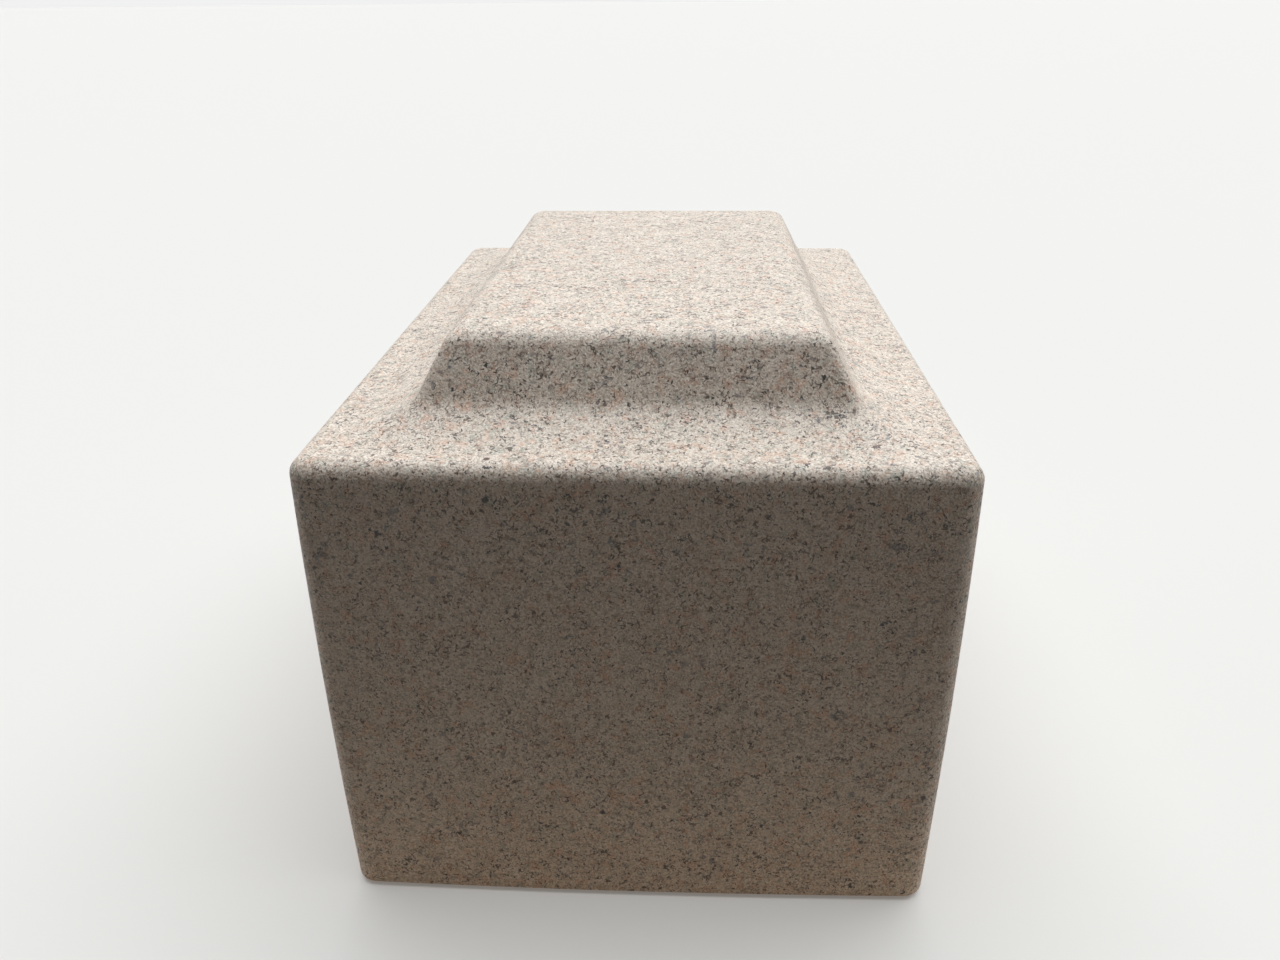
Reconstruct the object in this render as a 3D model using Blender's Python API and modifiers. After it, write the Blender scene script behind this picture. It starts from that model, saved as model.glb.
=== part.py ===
"""Cremation urn in cast granite resin: a rounded box with a coved plateau on top.

The body is one hollow casting, open underneath. A cast base plate closes it, set in a
rebate and sealed with a bead. A threaded collar in the plate takes a screw plug with a
gasket, and four pads carry the urn. Metres, +Z up, origin at the centre of the footprint.
"""

import math

import bmesh
import bpy
from mathutils import Vector

# Driving sizes.
WIDTH = 0.165
DEPTH = 0.235
LEDGE_HEIGHT = 0.133
PLATEAU_RISE = 0.022
LEDGE_WIDTH = 0.00562

# Edges of the casting.
CORNER_RADIUS = 0.006
LEDGE_EDGE_RADIUS = 0.0042
BOTTOM_EDGE_RADIUS = 0.001
RUN_OUT_RADIUS = 0.040
RUN_OUT_ANGLE = math.radians(25)
COVE_RADIUS = 0.009
PLATEAU_EDGE_RADIUS = 0.0065
PLATEAU_WALL_ANGLE = math.radians(62)
PLATEAU_WALL_CORNER = 0.003
PLATEAU_TOP_CORNER = 0.002
COVE_FOOT_CORNER = 0.014
LEDGE_CORNER = 0.001

# Walls and chamber of the casting.
WALL = 0.012
CHAMBER_CORNER = 0.010
CHAMBER_FILLET = 0.007
UPPER_CHAMBER_CORNER = 0.008
UPPER_CHAMBER_INSET = 0.004
RIM_WALL = 0.0055

# Base plate, its seam and the pads under it.
STAND_OFF = 0.0012
BASE_RECESS = 0.0005
BASE_THICKNESS = 0.012
REBATE_CORNER = 0.004
SEAM_WIDTH = 0.002
SEALANT_RECESS = 0.0003
SEALANT_DEPTH = 0.0065
PAD_RADIUS = 0.009
PAD_INSET = 0.008
PAD_EDGE = 0.0003

# Screw plug, thread, gasket and collar.
BARREL_RADIUS = 0.0262
BARREL_WALL = 0.0027
HEAD_OVERHANG = 0.0078
HEAD_THICKNESS = 0.0027
HEAD_SINK = 0.0003
CROWN_THICKNESS = 0.002
GRIP_BAR_WIDTH = 0.009
THREAD_PITCH = 0.004
TOOTH_HEIGHT = 0.0016
TOOTH_TIP_CLEARANCE = 0.0007
PLUG_THREAD_TURNS = 1.75
COLLAR_THREAD_TURNS = 2.5
THREAD_LEAD_IN = 0.0005
THREAD_RUN_OUT = 0.001
GASKET_THICKNESS = 0.0014
GASKET_WIDTH = 0.0065
COLLAR_WALL = 0.0024
COLLAR_WEB = 0.0019
FLANGE_RIM = 0.0035
COLLAR_SINK = 0.0003
COLLAR_OVERRUN = 0.0025

# Clearances.
GAP = 0.0003
HEAD_CLEARANCE = 0.0005

# Facets.
CORNER_STEPS = 6
ARC_STEPS = 6
ROUND_STEPS = 64
PAD_STEPS = 32
THREAD_STEPS = 48

# Heights above the surface that the urn stands on.
BASE_BOTTOM = STAND_OFF + BASE_RECESS
BASE_TOP = BASE_BOTTOM + BASE_THICKNESS
PAD_HEIGHT = BASE_BOTTOM - GAP
TOP = LEDGE_HEIGHT + PLATEAU_RISE
COLLAR_BOTTOM = BASE_BOTTOM + COLLAR_SINK
HEAD_BOTTOM = COLLAR_BOTTOM + HEAD_SINK
HEAD_TOP = HEAD_BOTTOM + HEAD_THICKNESS
GASKET_BOTTOM = HEAD_TOP + GAP
GASKET_TOP = GASKET_BOTTOM + GASKET_THICKNESS
SEAT = GASKET_TOP + GAP
FLANGE_TOP = SEAT + COLLAR_WEB

# The thread: the collar's teeth lie half a pitch from the plug's.
TOOTH_ROOT_WIDTH = THREAD_PITCH / 2
TOOTH_TIP_WIDTH = THREAD_PITCH / 4
COLLAR_THREAD_START = SEAT + THREAD_LEAD_IN + TOOTH_ROOT_WIDTH / 2
PLUG_THREAD_START = COLLAR_THREAD_START + THREAD_PITCH / 2
COLLAR_TOP = COLLAR_THREAD_START + COLLAR_THREAD_TURNS * THREAD_PITCH + COLLAR_OVERRUN
BARREL_TOP = PLUG_THREAD_START + PLUG_THREAD_TURNS * THREAD_PITCH + TOOTH_ROOT_WIDTH

# Radii about the plug's axis.
BORE_RADIUS = BARREL_RADIUS + TOOTH_HEIGHT + TOOTH_TIP_CLEARANCE
HEAD_RADIUS = BARREL_RADIUS + HEAD_OVERHANG
HEAD_RECESS_RADIUS = HEAD_RADIUS + HEAD_CLEARANCE
FLANGE_RADIUS = HEAD_RECESS_RADIUS + FLANGE_RIM
COLLAR_RADIUS = BORE_RADIUS + COLLAR_WALL

# Overlap that lets a tooth and its barrel join into one solid.
TOOTH_ROOT_OVERLAP = 0.0004
# How far a cutter runs past the faces that it opens.
CUT_PAST = 0.002
MERGE = 0.00001


def clear_scene():
    for existing in list(bpy.data.objects):
        bpy.data.objects.remove(existing, do_unlink=True)


def new_collection(name):
    collection = bpy.data.collections.new(name)
    bpy.context.scene.collection.children.link(collection)
    return collection


def new_material(name, colour, roughness, metallic=0.0):
    material = bpy.data.materials.new(name)
    material.use_nodes = True
    material.diffuse_color = (*colour, 1.0)
    shader = material.node_tree.nodes["Principled BSDF"]
    shader.inputs["Base Color"].default_value = (*colour, 1.0)
    shader.inputs["Roughness"].default_value = roughness
    shader.inputs["Metallic"].default_value = metallic
    return material


def finish_bmesh(shape, name, collection, smooth_angle=math.radians(30)):
    """Turns a bmesh into a named object with its round stretches shaded smooth."""
    mesh = bpy.data.meshes.new(name)
    shape.to_mesh(mesh)
    shape.free()
    mesh.shade_smooth()
    mesh.set_sharp_from_angle(angle=smooth_angle)
    made = bpy.data.objects.new(name, mesh)
    collection.objects.link(made)
    return made


def make_cutter(cutter):
    cutter.hide_render = True
    cutter.display_type = "WIRE"
    return cutter


def add_boolean(target, tool, operation):
    modifier = target.modifiers.new(tool.name, "BOOLEAN")
    modifier.operation = operation
    modifier.solver = "EXACT"
    modifier.object = tool


def rounded_rectangle(inset, corner, z):
    """Corners of the casting's outline, drawn in by inset and rounded, at height z."""
    half_x = WIDTH / 2 - inset
    half_y = DEPTH / 2 - inset
    points = []
    for sign_x, sign_y, start in ((1, 1, 0.0), (-1, 1, 0.5), (-1, -1, 1.0), (1, -1, 1.5)):
        for step in range(CORNER_STEPS + 1):
            angle = math.pi * (start + 0.5 * step / CORNER_STEPS)
            x = sign_x * (half_x - corner) + corner * math.cos(angle)
            y = sign_y * (half_y - corner) + corner * math.sin(angle)
            points.append(Vector((x, y, z)))
    return points


def loft(name, sections, collection, ring=False):
    """Joins rounded rectangles, each (inset, corner, z), into one closed body."""
    shape = bmesh.new()
    loops = []
    for inset, corner, z in sections:
        points = rounded_rectangle(inset, corner, z)
        loops.append([shape.verts.new(point) for point in points])
    followers = loops[1:] + loops[:1] if ring else loops[1:]
    for lower, upper in zip(loops, followers):
        count = len(lower)
        for index in range(count):
            after = (index + 1) % count
            shape.faces.new((lower[index], lower[after], upper[after], upper[index]))
    if not ring:
        shape.faces.new(loops[0])
        shape.faces.new(loops[-1])
    bmesh.ops.recalc_face_normals(shape, faces=shape.faces)
    return finish_bmesh(shape, name, collection)


def arc(centre_inset, centre_z, radius, start, end, steps=ARC_STEPS):
    """Points (inset, z) on an arc, with angles measured from outwards, turning up."""
    points = []
    for step in range(steps + 1):
        angle = start + (end - start) * step / steps
        inset = centre_inset - radius * math.cos(angle)
        points.append((inset, centre_z + radius * math.sin(angle)))
    return points


def turned(name, profile, collection, steps=ROUND_STEPS, ring=False):
    """Spins (radius, z) points about Z. They run down the outer side, top to bottom."""
    mesh = bpy.data.meshes.new(name)
    count = len(profile)
    edges = [(index, index + 1) for index in range(count - 1)]
    if ring:
        edges.append((count - 1, 0))
    mesh.from_pydata([(radius, 0.0, z) for radius, z in profile], edges, [])
    made = bpy.data.objects.new(name, mesh)
    collection.objects.link(made)
    screw = made.modifiers.new("Turn", "SCREW")
    screw.axis = "Z"
    screw.steps = steps
    screw.render_steps = steps
    screw.use_merge_vertices = True
    screw.merge_threshold = MERGE
    screw.use_smooth_shade = True
    return made


def helical_tooth(name, root, tip, start_z, turns, collection):
    """One screw tooth, a tapered rib that winds up about Z from radius root to tip."""
    steps = round(turns * THREAD_STEPS)
    run_out = THREAD_STEPS / 6
    outwards = 1.0 if tip > root else -1.0
    sunk = root - outwards * TOOTH_ROOT_OVERLAP
    shape = bmesh.new()
    rings = []
    for step in range(steps + 1):
        turn = 2 * math.pi * step / THREAD_STEPS
        height = start_z + THREAD_PITCH * step / THREAD_STEPS
        grown = min(1.0, step / run_out, (steps - step) / run_out)
        edge = sunk + (tip - sunk) * max(grown, 0.1)
        outline = (
            (sunk, -TOOTH_ROOT_WIDTH / 2),
            (edge, -TOOTH_TIP_WIDTH / 2),
            (edge, TOOTH_TIP_WIDTH / 2),
            (sunk, TOOTH_ROOT_WIDTH / 2),
        )
        ring = []
        for radius, rise in outline:
            x = radius * math.cos(turn)
            y = radius * math.sin(turn)
            ring.append(shape.verts.new((x, y, height + rise)))
        rings.append(ring)
    for lower, upper in zip(rings, rings[1:]):
        for index in range(4):
            after = (index + 1) % 4
            shape.faces.new((lower[index], lower[after], upper[after], upper[index]))
    shape.faces.new(rings[0])
    shape.faces.new(rings[-1])
    bmesh.ops.recalc_face_normals(shape, faces=shape.faces)
    return finish_bmesh(shape, name, collection)


def outer_sections():
    """Sections of the casting's outside, from the bottom edge up to the flat top."""
    quarter = math.pi / 2
    sections = []
    edge = BOTTOM_EDGE_RADIUS
    for inset, z in arc(edge, STAND_OFF + edge, edge, -quarter, 0.0, 3):
        sections.append((inset, CORNER_RADIUS - inset, z))
    edge = LEDGE_EDGE_RADIUS
    for inset, z in arc(edge, LEDGE_HEIGHT - edge, edge, 0.0, quarter):
        sections.append((inset, max(CORNER_RADIUS - inset, LEDGE_CORNER), z))
    cove = cove_points()
    wall_inset = cove[-1][0]
    for inset, z in cove:
        share = (inset - cove[0][0]) / (wall_inset - cove[0][0])
        corner = COVE_FOOT_CORNER + share * (PLATEAU_WALL_CORNER - COVE_FOOT_CORNER)
        sections.append((inset, corner, z))
    brow = brow_points()
    for inset, z in brow:
        share = (inset - brow[0][0]) / (brow[-1][0] - brow[0][0])
        corner = PLATEAU_WALL_CORNER + share * (PLATEAU_TOP_CORNER - PLATEAU_WALL_CORNER)
        sections.append((inset, corner, z))
    return sections


def cove_points():
    """The hollow curve from the ledge to the sloping wall: a long run-out, then a tight cove."""
    points = []
    for step in range(ARC_STEPS + 1):
        angle = RUN_OUT_ANGLE * step / ARC_STEPS
        inset = LEDGE_WIDTH + RUN_OUT_RADIUS * math.sin(angle)
        points.append((inset, LEDGE_HEIGHT + RUN_OUT_RADIUS * (1 - math.cos(angle))))
    inset, z = points[-1]
    for step in range(1, ARC_STEPS + 1):
        angle = RUN_OUT_ANGLE + (PLATEAU_WALL_ANGLE - RUN_OUT_ANGLE) * step / ARC_STEPS
        run = COVE_RADIUS * (math.sin(angle) - math.sin(RUN_OUT_ANGLE))
        rise = COVE_RADIUS * (math.cos(RUN_OUT_ANGLE) - math.cos(angle))
        points.append((inset + run, z + rise))
    return points


def flat_top_inset():
    """Where the flat top begins, behind the cove, the straight wall and the round edge."""
    inset, z = cove_points()[-1]
    edge_rise = PLATEAU_EDGE_RADIUS * (1 - math.cos(PLATEAU_WALL_ANGLE))
    edge_run = PLATEAU_EDGE_RADIUS * math.sin(PLATEAU_WALL_ANGLE)
    straight_run = (TOP - edge_rise - z) / math.tan(PLATEAU_WALL_ANGLE)
    return inset + straight_run + edge_run


def brow_points():
    """The round edge between the plateau's sloping wall and its flat top."""
    start = math.pi / 2 - PLATEAU_WALL_ANGLE
    edge = PLATEAU_EDGE_RADIUS
    return arc(flat_top_inset(), TOP - edge, edge, start, math.pi / 2)


def chamber_sections():
    """Sections of the chamber, from the upper ceiling down to the rebate's mouth."""
    quarter = math.pi / 2
    upper = flat_top_inset() + UPPER_CHAMBER_INSET
    fillet = CHAMBER_FILLET
    sections = []
    for inset, z in reversed(arc(upper + fillet, TOP - WALL - fillet, fillet, 0.0, quarter)):
        sections.append((inset, UPPER_CHAMBER_CORNER, z))
    sections.append((upper, UPPER_CHAMBER_CORNER, LEDGE_HEIGHT - WALL))
    ceiling = LEDGE_HEIGHT - WALL - fillet
    for inset, z in reversed(arc(WALL + fillet, ceiling, fillet, 0.0, quarter)):
        sections.append((inset, CHAMBER_CORNER, z))
    shoulder = BASE_TOP + GAP
    sections.append((WALL, CHAMBER_CORNER, shoulder))
    sections.append((RIM_WALL, REBATE_CORNER, shoulder))
    sections.append((RIM_WALL, REBATE_CORNER, STAND_OFF))
    return sections


def build_shell(collection, material):
    sections = chamber_sections() + outer_sections()
    shell = loft("urn_shell", sections, collection)
    shell.data.materials.append(material)


def build_base_plate(collection, cutters, material):
    inset = RIM_WALL + SEAM_WIDTH
    corner = REBATE_CORNER - SEAM_WIDTH
    sections = [(inset, corner, BASE_BOTTOM), (inset, corner, BASE_TOP)]
    plate = loft("base_plate", sections, collection)
    hole = turned(
        "collar_hole",
        [
            (0.0, BASE_TOP + CUT_PAST),
            (COLLAR_RADIUS + GAP, BASE_TOP + CUT_PAST),
            (COLLAR_RADIUS + GAP, FLANGE_TOP + GAP),
            (FLANGE_RADIUS + GAP, FLANGE_TOP + GAP),
            (FLANGE_RADIUS + GAP, BASE_BOTTOM - CUT_PAST),
            (0.0, BASE_BOTTOM - CUT_PAST),
        ],
        cutters,
    )
    make_cutter(hole)
    add_boolean(plate, hole, "DIFFERENCE")
    plate.data.materials.append(material)


def build_sealant(collection, material):
    outer = RIM_WALL + GAP
    inner = RIM_WALL + SEAM_WIDTH - GAP
    outer_corner = REBATE_CORNER - GAP
    inner_corner = REBATE_CORNER - SEAM_WIDTH + GAP
    bottom = BASE_BOTTOM + SEALANT_RECESS
    top = bottom + SEALANT_DEPTH
    sections = [
        (outer, outer_corner, bottom),
        (outer, outer_corner, top),
        (inner, inner_corner, top),
        (inner, inner_corner, bottom),
    ]
    bead = loft("seam_sealant", sections, collection, ring=True)
    bead.data.materials.append(material)


def build_collar(collection, cutters, material):
    collar = turned(
        "thread_collar",
        [
            (BORE_RADIUS, COLLAR_TOP),
            (COLLAR_RADIUS, COLLAR_TOP),
            (COLLAR_RADIUS, FLANGE_TOP),
            (FLANGE_RADIUS, FLANGE_TOP),
            (FLANGE_RADIUS, COLLAR_BOTTOM),
            (HEAD_RECESS_RADIUS, COLLAR_BOTTOM),
            (HEAD_RECESS_RADIUS, SEAT),
            (BORE_RADIUS, SEAT),
        ],
        collection,
        ring=True,
    )
    tip = BORE_RADIUS - TOOTH_HEIGHT
    tooth = helical_tooth(
        "collar_tooth", BORE_RADIUS, tip, COLLAR_THREAD_START, COLLAR_THREAD_TURNS, cutters
    )
    make_cutter(tooth)
    add_boolean(collar, tooth, "UNION")
    collar.data.materials.append(material)


def build_plug(collection, cutters, material):
    plug = turned(
        "screw_plug",
        [
            (0.0, BARREL_TOP),
            (BARREL_RADIUS - THREAD_RUN_OUT, BARREL_TOP),
            (BARREL_RADIUS, BARREL_TOP - THREAD_RUN_OUT),
            (BARREL_RADIUS, HEAD_TOP),
            (HEAD_RADIUS, HEAD_TOP),
            (HEAD_RADIUS, HEAD_BOTTOM),
            (0.0, HEAD_BOTTOM),
        ],
        collection,
    )
    tip = BARREL_RADIUS + TOOTH_HEIGHT
    tooth = helical_tooth(
        "plug_tooth", BARREL_RADIUS, tip, PLUG_THREAD_START, PLUG_THREAD_TURNS, cutters
    )
    make_cutter(tooth)
    add_boolean(plug, tooth, "UNION")
    well_radius = BARREL_RADIUS - BARREL_WALL
    well_top = BARREL_TOP - CROWN_THICKNESS
    wells = turned(
        "finger_wells",
        [
            (0.0, well_top),
            (well_radius, well_top),
            (well_radius, HEAD_BOTTOM - CUT_PAST),
            (0.0, HEAD_BOTTOM - CUT_PAST),
        ],
        cutters,
    )
    make_cutter(wells)
    bpy.ops.mesh.primitive_cube_add(size=1.0)
    bar = bpy.context.active_object
    bar.name = "grip_bar"
    for vertex in bar.data.vertices:
        vertex.co.x *= GRIP_BAR_WIDTH
        vertex.co.y *= 2 * BARREL_RADIUS
        vertex.co.z *= 2 * BARREL_TOP
    for holder in list(bar.users_collection):
        holder.objects.unlink(bar)
    cutters.objects.link(bar)
    make_cutter(bar)
    add_boolean(wells, bar, "DIFFERENCE")
    add_boolean(plug, wells, "DIFFERENCE")
    plug.data.materials.append(material)


def build_gasket(collection, material):
    inner = BARREL_RADIUS + GAP
    outer = inner + GASKET_WIDTH
    profile = [
        (inner, GASKET_TOP),
        (outer, GASKET_TOP),
        (outer, GASKET_BOTTOM),
        (inner, GASKET_BOTTOM),
    ]
    gasket = turned("plug_gasket", profile, collection, ring=True)
    gasket.data.materials.append(material)


def build_pads(collection, material):
    reach = RIM_WALL + SEAM_WIDTH + PAD_INSET + PAD_RADIUS
    profile = [
        (0.0, PAD_HEIGHT),
        (PAD_RADIUS, PAD_HEIGHT),
        (PAD_RADIUS, PAD_EDGE),
        (PAD_RADIUS - PAD_EDGE, 0.0),
        (0.0, 0.0),
    ]
    for end_name, end in (("front", -1), ("back", 1)):
        for side_name, side in (("left", -1), ("right", 1)):
            name = f"foot_pad_{end_name}_{side_name}"
            pad = turned(name, profile, collection, steps=PAD_STEPS)
            pad.location = (side * (WIDTH / 2 - reach), end * (DEPTH / 2 - reach), 0.0)
            pad.data.materials.append(material)


def main():
    clear_scene()
    parts = new_collection("cast_granite_urn")
    cutters = new_collection("cutters")
    granite = new_material("cast_granite", (0.55, 0.445, 0.352), 0.62)
    backing = new_material("cast_resin_base", (0.47, 0.40, 0.33), 0.7)
    silicone = new_material("silicone_sealant", (0.62, 0.58, 0.5), 0.45)
    polymer = new_material("moulded_polymer", (0.018, 0.018, 0.019), 0.42)
    rubber = new_material("gasket_rubber", (0.012, 0.012, 0.012), 0.6)
    pad_rubber = new_material("pad_rubber", (0.03, 0.026, 0.022), 0.75)
    build_shell(parts, granite)
    build_base_plate(parts, cutters, backing)
    build_sealant(parts, silicone)
    build_collar(parts, cutters, polymer)
    build_plug(parts, cutters, polymer)
    build_gasket(parts, rubber)
    build_pads(parts, pad_rubber)


main()
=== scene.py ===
"""Looks of a cast-granite cremation urn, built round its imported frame.

The urn is one hollow casting of granite-filled resin with a coved plateau on top. A cast
base plate closes it from below, in a rebate sealed with a bead. The plate holds a threaded
collar, a screw plug with its gasket, and four foot pads. Lengths are metres, +Z is up, and
the origin is the centre of the footprint, on the surface that the urn stands on.
"""

import logging
import math
from dataclasses import dataclass
from enum import Enum

import bmesh
import bpy
from mathutils import Euler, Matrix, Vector, noise


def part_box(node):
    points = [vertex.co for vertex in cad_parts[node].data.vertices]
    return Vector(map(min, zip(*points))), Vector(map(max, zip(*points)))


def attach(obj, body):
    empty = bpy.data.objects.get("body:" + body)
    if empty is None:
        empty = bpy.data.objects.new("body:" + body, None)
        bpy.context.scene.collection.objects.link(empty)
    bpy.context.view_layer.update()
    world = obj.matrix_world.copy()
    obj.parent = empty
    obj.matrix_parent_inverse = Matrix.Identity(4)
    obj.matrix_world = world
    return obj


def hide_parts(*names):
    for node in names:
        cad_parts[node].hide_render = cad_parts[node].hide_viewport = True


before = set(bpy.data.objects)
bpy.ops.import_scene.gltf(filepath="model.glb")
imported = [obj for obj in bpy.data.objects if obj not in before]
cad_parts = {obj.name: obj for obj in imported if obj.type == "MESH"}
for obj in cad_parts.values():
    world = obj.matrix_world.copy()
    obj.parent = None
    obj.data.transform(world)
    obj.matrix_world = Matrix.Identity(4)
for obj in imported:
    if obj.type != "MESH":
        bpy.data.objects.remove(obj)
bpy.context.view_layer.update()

log = logging.getLogger("urn")

MM = 0.001
FULL_TURN = 2 * math.pi
QUARTER_TURN = math.pi / 2
SHARP_ANGLE = math.radians(32)
MERGE_DISTANCE = 0.001 * MM
# Offsets that keep one strewn pattern apart from the next.
SEED_STEP = 7.0
WISP_SEED = 41.0

Loop = list[Vector]
Node = bpy.types.Node
Socket = bpy.types.NodeSocket
Tree = bpy.types.NodeTree
Shape = bmesh.types.BMesh


class Body(Enum):
    """The bodies that a piece can ride on."""

    URN = "urn"
    GASKET = "gasket"
    PLUG = "plug"


class Slot(Enum):
    """The record's material slots."""

    GRANITE = "cast_granite"
    BASE = "cast_base"
    SEALANT = "sealant"
    COLLAR = "collar_polymer"
    PLUG = "plug_polymer"
    GASKET = "gasket_rubber"
    PAD = "pad_rubber"


# ---------------------------------------------------------------- shader helpers


def linear(hex_colour: str) -> tuple[float, float, float, float]:
    """Turns an sRGB hex colour into linear light.

    Args:
        hex_colour: The colour, such as "#C8B7A6".

    Returns:
        Linear red, green, blue and an alpha of 1.
    """
    channels = [int(hex_colour[start : start + 2], 16) / 255 for start in (1, 3, 5)]
    red, green, blue = (
        level / 12.92 if level <= 0.04045 else ((level + 0.055) / 1.055) ** 2.4
        for level in channels
    )
    return (red, green, blue, 1.0)


def add_node(
    tree: Tree, kind: str, inputs: dict[str | int, object] | None = None, **settings: object
) -> Node:
    """Adds one shader node with its settings, values and links.

    Args:
        tree: The node tree that takes the node.
        kind: The node's type, without its ShaderNode prefix.
        inputs: Values, or output sockets to link, by the input's name or number.
        settings: Properties of the node itself.

    Returns:
        The new node.
    """
    node = tree.nodes.new("ShaderNode" + kind)
    for name, value in settings.items():
        setattr(node, name, value)
    for key, value in (inputs or {}).items():
        if isinstance(value, Socket):
            tree.links.new(value, node.inputs[key])
        else:
            node.inputs[key].default_value = value
    return node


# ---------------------------------------------------------------- finishes


@dataclass(frozen=True)
class Strew:
    """Chips, grains or stains of one size, strewn through a material.

    They show where a noise of their size passes the limit. Where gather is set, a coarser
    noise of that size is added, up to the flocking each way, so that they lie in flocks.
    Sizes are millimetres.
    """

    size: float
    colour: str
    limit: float
    softness: float
    share: float = 1.0
    detail: float = 2.0
    distortion: float = 0.0
    gather: float = 0.0
    flocking: float = 0.25

    def mask(self, tree: Tree, mm: Socket, seed: float) -> Socket:
        """Gives how much of these chips shows at each point.

        Args:
            tree: The material's node tree.
            mm: Object coordinates in millimetres.
            seed: An offset that keeps this pattern apart from the others.

        Returns:
            A socket that runs from 0 to the share.
        """
        place = add_node(
            tree,
            "Mapping",
            {
                "Vector": mm,
                "Location": (seed, 2.3 * seed, -1.7 * seed),
                "Scale": (1 / self.size,) * 3,
            },
        )
        grain = add_node(
            tree,
            "TexNoise",
            {
                "Vector": place.outputs[0],
                "Scale": 1.0,
                "Detail": self.detail,
                "Distortion": self.distortion,
            },
        ).outputs[0]
        if self.gather:
            flock = add_node(
                tree,
                "Mapping",
                {
                    "Vector": mm,
                    "Location": (-seed, seed, 3 * seed),
                    "Scale": (1 / self.gather,) * 3,
                },
            )
            density = add_node(
                tree, "TexNoise", {"Vector": flock.outputs[0], "Scale": 1.0, "Detail": 2.0}
            )
            push = add_node(
                tree,
                "MapRange",
                {"Value": density.outputs[0], 1: 0.0, 2: 1.0, 3: -self.flocking, 4: self.flocking},
            )
            raised = add_node(tree, "Math", {0: grain, 1: push.outputs[0]}, operation="ADD")
            grain = raised.outputs[0]
        return add_node(
            tree,
            "MapRange",
            {"Value": grain, 1: self.limit, 2: self.limit + self.softness, 3: 0.0, 4: self.share},
            interpolation_type="SMOOTHSTEP",
        ).outputs[0]


@dataclass(frozen=True)
class Finish:
    """A surface finish. Each kind adds its own nodes to a Principled shader."""

    name: str
    colour: str
    roughness: float
    ior: float = 1.5

    def material(self) -> bpy.types.Material:
        """Makes the material and dresses it."""
        made = bpy.data.materials.new(self.name)
        made.use_nodes = True
        tree = made.node_tree
        shader = tree.nodes["Principled BSDF"]
        shader.inputs["Base Color"].default_value = linear(self.colour)
        shader.inputs["Roughness"].default_value = self.roughness
        shader.inputs["IOR"].default_value = self.ior
        place = add_node(tree, "TexCoord").outputs["Object"]
        mm = add_node(tree, "VectorMath", {0: place, "Scale": 1 / MM}, operation="SCALE").outputs[0]
        self.dress(tree, shader, mm)
        return made

    def dress(self, tree: Tree, shader: Node, mm: Socket) -> None:
        """Adds the finish's own nodes.

        Args:
            tree: The material's node tree.
            shader: Its Principled shader.
            mm: Object coordinates in millimetres.
        """
        raise NotImplementedError

    def relief(
        self,
        tree: Tree,
        shader: Node,
        mm: Socket,
        heights: tuple[tuple[float, float], ...],
    ) -> None:
        """Gives the surface a fine relief.

        Args:
            tree: The material's node tree.
            shader: Its Principled shader.
            mm: Object coordinates in millimetres.
            heights: Grain size and height of each layer of relief, in millimetres.
        """
        normal = None
        for size, height in heights:
            place = add_node(
                tree,
                "Mapping",
                {"Vector": mm, "Scale": (1 / size,) * 3, "Location": (size, 0, -size)},
            )
            grain = add_node(
                tree, "TexNoise", {"Vector": place.outputs[0], "Scale": 1.0, "Detail": 2.0}
            )
            inputs = {"Height": grain.outputs[0], "Strength": 1.0, "Distance": height * MM}
            if normal is not None:
                inputs["Normal"] = normal
            normal = add_node(tree, "Bump", inputs).outputs[0]
        tree.links.new(normal, shader.inputs["Normal"])

    def vary_roughness(
        self, tree: Tree, shader: Node, mm: Socket, size: float, spread: float
    ) -> None:
        """Varies the gloss over the surface.

        Args:
            tree: The material's node tree.
            shader: Its Principled shader.
            mm: Object coordinates in millimetres.
            size: Size of the duller and glossier areas, in millimetres.
            spread: How far the roughness goes to each side of its middle value.
        """
        cloud = add_node(tree, "TexNoise", {"Vector": mm, "Scale": 1 / size, "Detail": 3.0})
        low, high = self.roughness - spread, self.roughness + spread
        gloss = add_node(
            tree, "MapRange", {"Value": cloud.outputs[0], 1: 0.3, 2: 0.7, 3: low, 4: high}
        )
        tree.links.new(gloss.outputs[0], shader.inputs["Roughness"])


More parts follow.
